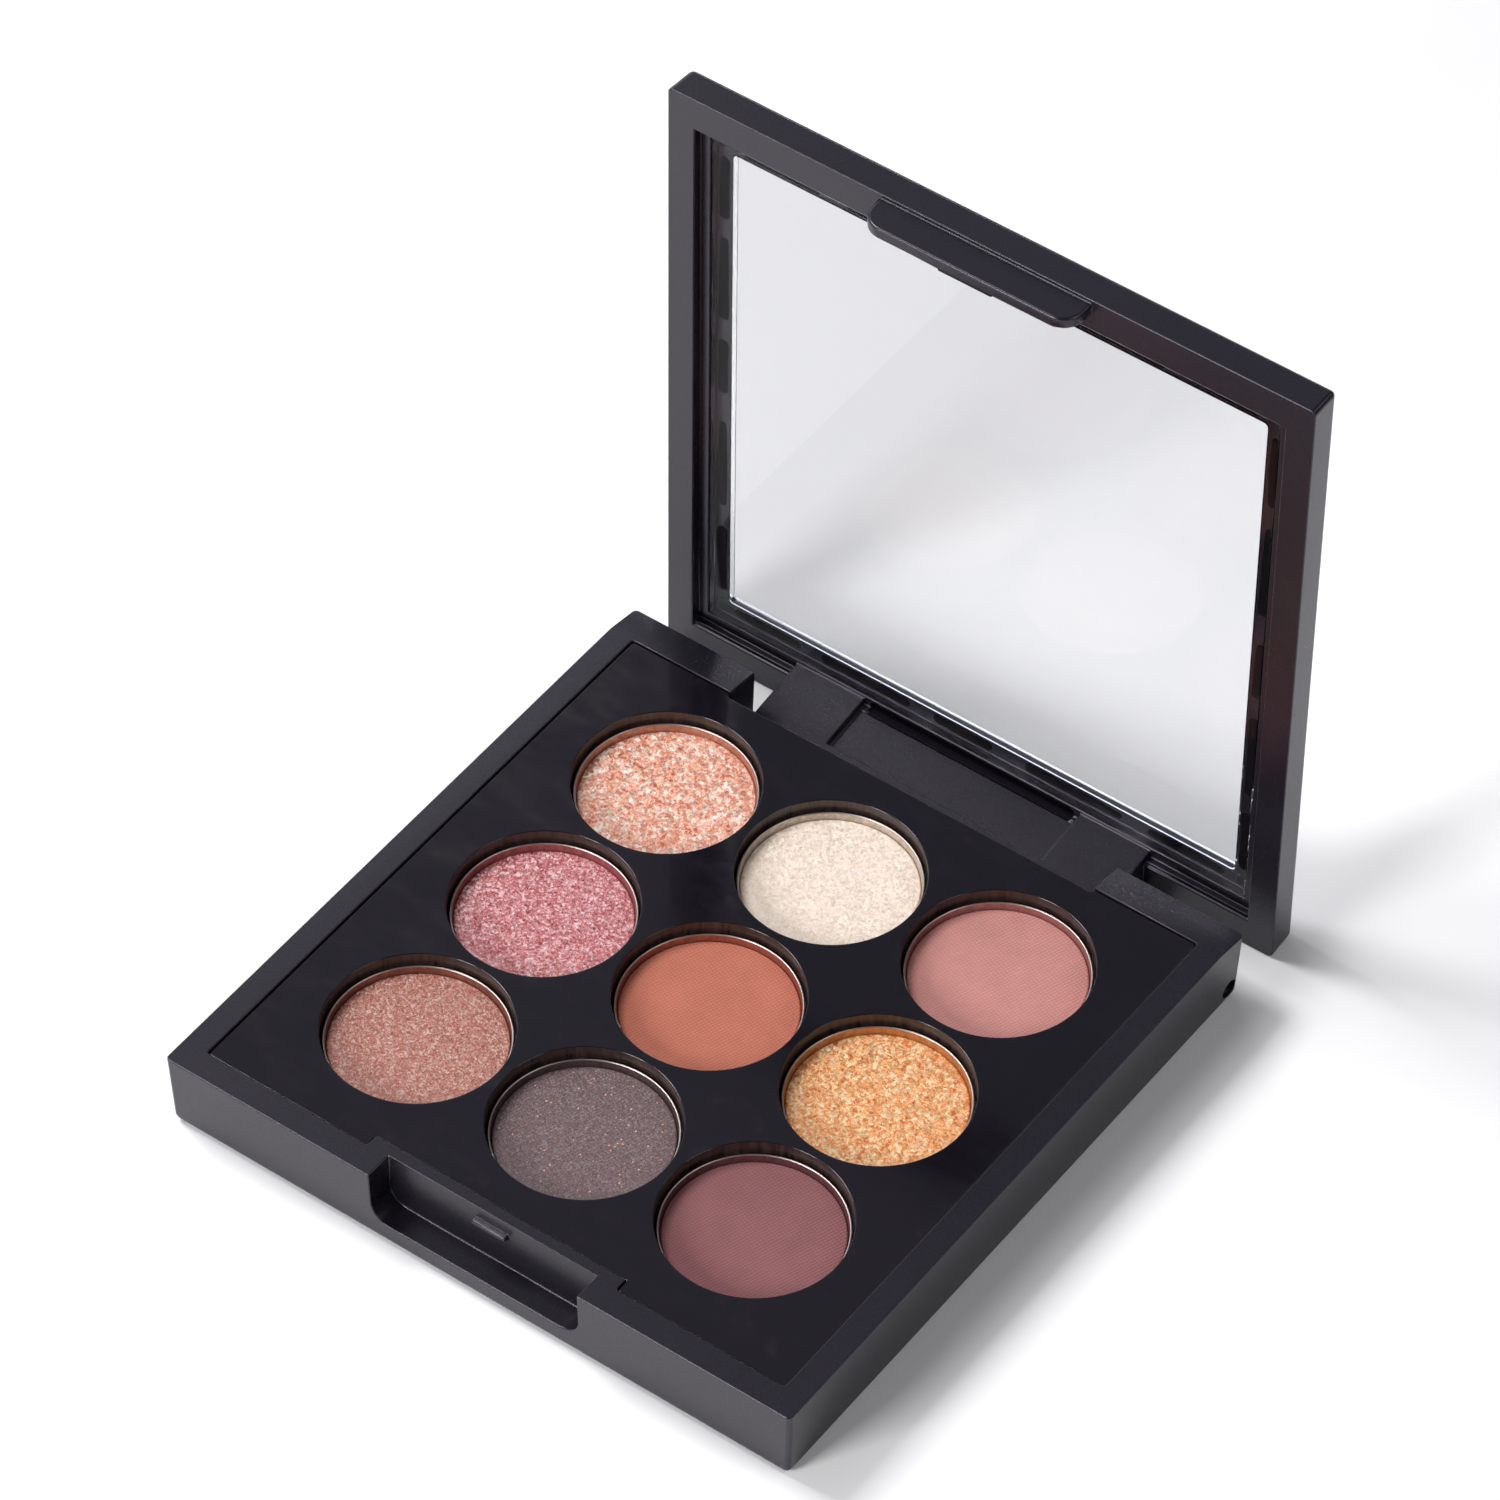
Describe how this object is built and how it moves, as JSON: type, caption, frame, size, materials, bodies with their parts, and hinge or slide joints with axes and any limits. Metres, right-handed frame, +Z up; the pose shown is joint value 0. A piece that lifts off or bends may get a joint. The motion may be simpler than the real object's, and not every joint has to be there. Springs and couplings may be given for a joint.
{
  "type": "eyeshadow palette",
  "caption": "Square pocket eyeshadow palette: pressed powders in metal pans in a gloss tray, with a hinged window lid and a snap latch tab.",
  "frame": {"origin": "centre of the base's underside, on the surface it stands on", "axes": "+Z up, +X along the hinge to the right as seen from the thumb notch, +Y from the thumb notch towards the hinge"},
  "size_m": [0.08, 0.0915, 0.0815],
  "materials": {
    "case_plastic": "fine satin moulded plastic",
    "tray_plastic": "polished moulded plastic",
    "glue": "cured clear glue",
    "pan_aluminium": "drawn and satin",
    "pin_steel": "drawn wire",
    "clear_plastic": "clear polished plastic",
    "window_adhesive": "cured glue against black plastic",
    "powder_bronze": "pressed shimmer powder",
    "powder_charcoal": "pressed satin powder with fine sparkle",
    "powder_plum": "pressed matte powder with a cloth print",
    "powder_mauve": "pressed glitter powder",
    "powder_terracotta": "pressed matte powder with a cloth print",
    "powder_gold": "pressed glitter powder",
    "powder_rose_gold": "pressed glitter powder",
    "powder_champagne": "pressed shimmer powder",
    "powder_dusty_pink": "pressed matte powder with a cloth print"
  },
  "bodies": {
    "base": {"base_case": "case_plastic", "pan_tray": "tray_plastic", "tray_glue": "glue", "pan_glue": "glue", "pan_front_left": "pan_aluminium", "pan_front_centre": "pan_aluminium", "pan_front_right": "pan_aluminium", "pan_middle_left": "pan_aluminium", "pan_middle_centre": "pan_aluminium", "pan_middle_right": "pan_aluminium", "pan_back_left": "pan_aluminium", "pan_back_centre": "pan_aluminium", "pan_back_right": "pan_aluminium", "powder_front_left": "powder_bronze", "powder_front_centre": "powder_charcoal", "powder_front_right": "powder_plum", "powder_middle_left": "powder_mauve", "powder_middle_centre": "powder_terracotta", "powder_middle_right": "powder_gold", "powder_back_left": "powder_rose_gold", "powder_back_centre": "powder_champagne", "powder_back_right": "powder_dusty_pink", "hinge_pin_left": "pin_steel", "hinge_pin_right": "pin_steel"},
    "lid": {"lid_frame": "case_plastic", "window_pane": "clear_plastic", "window_glue": "window_adhesive"}
  },
  "joints": [
    {"name": "lid_hinge", "type": "hinge", "parent": "base", "child": "lid", "pos_m": [0, 0.03875, 0.002], "axis": [1, 0, 0], "range_deg": [0, 90]}
  ]
}
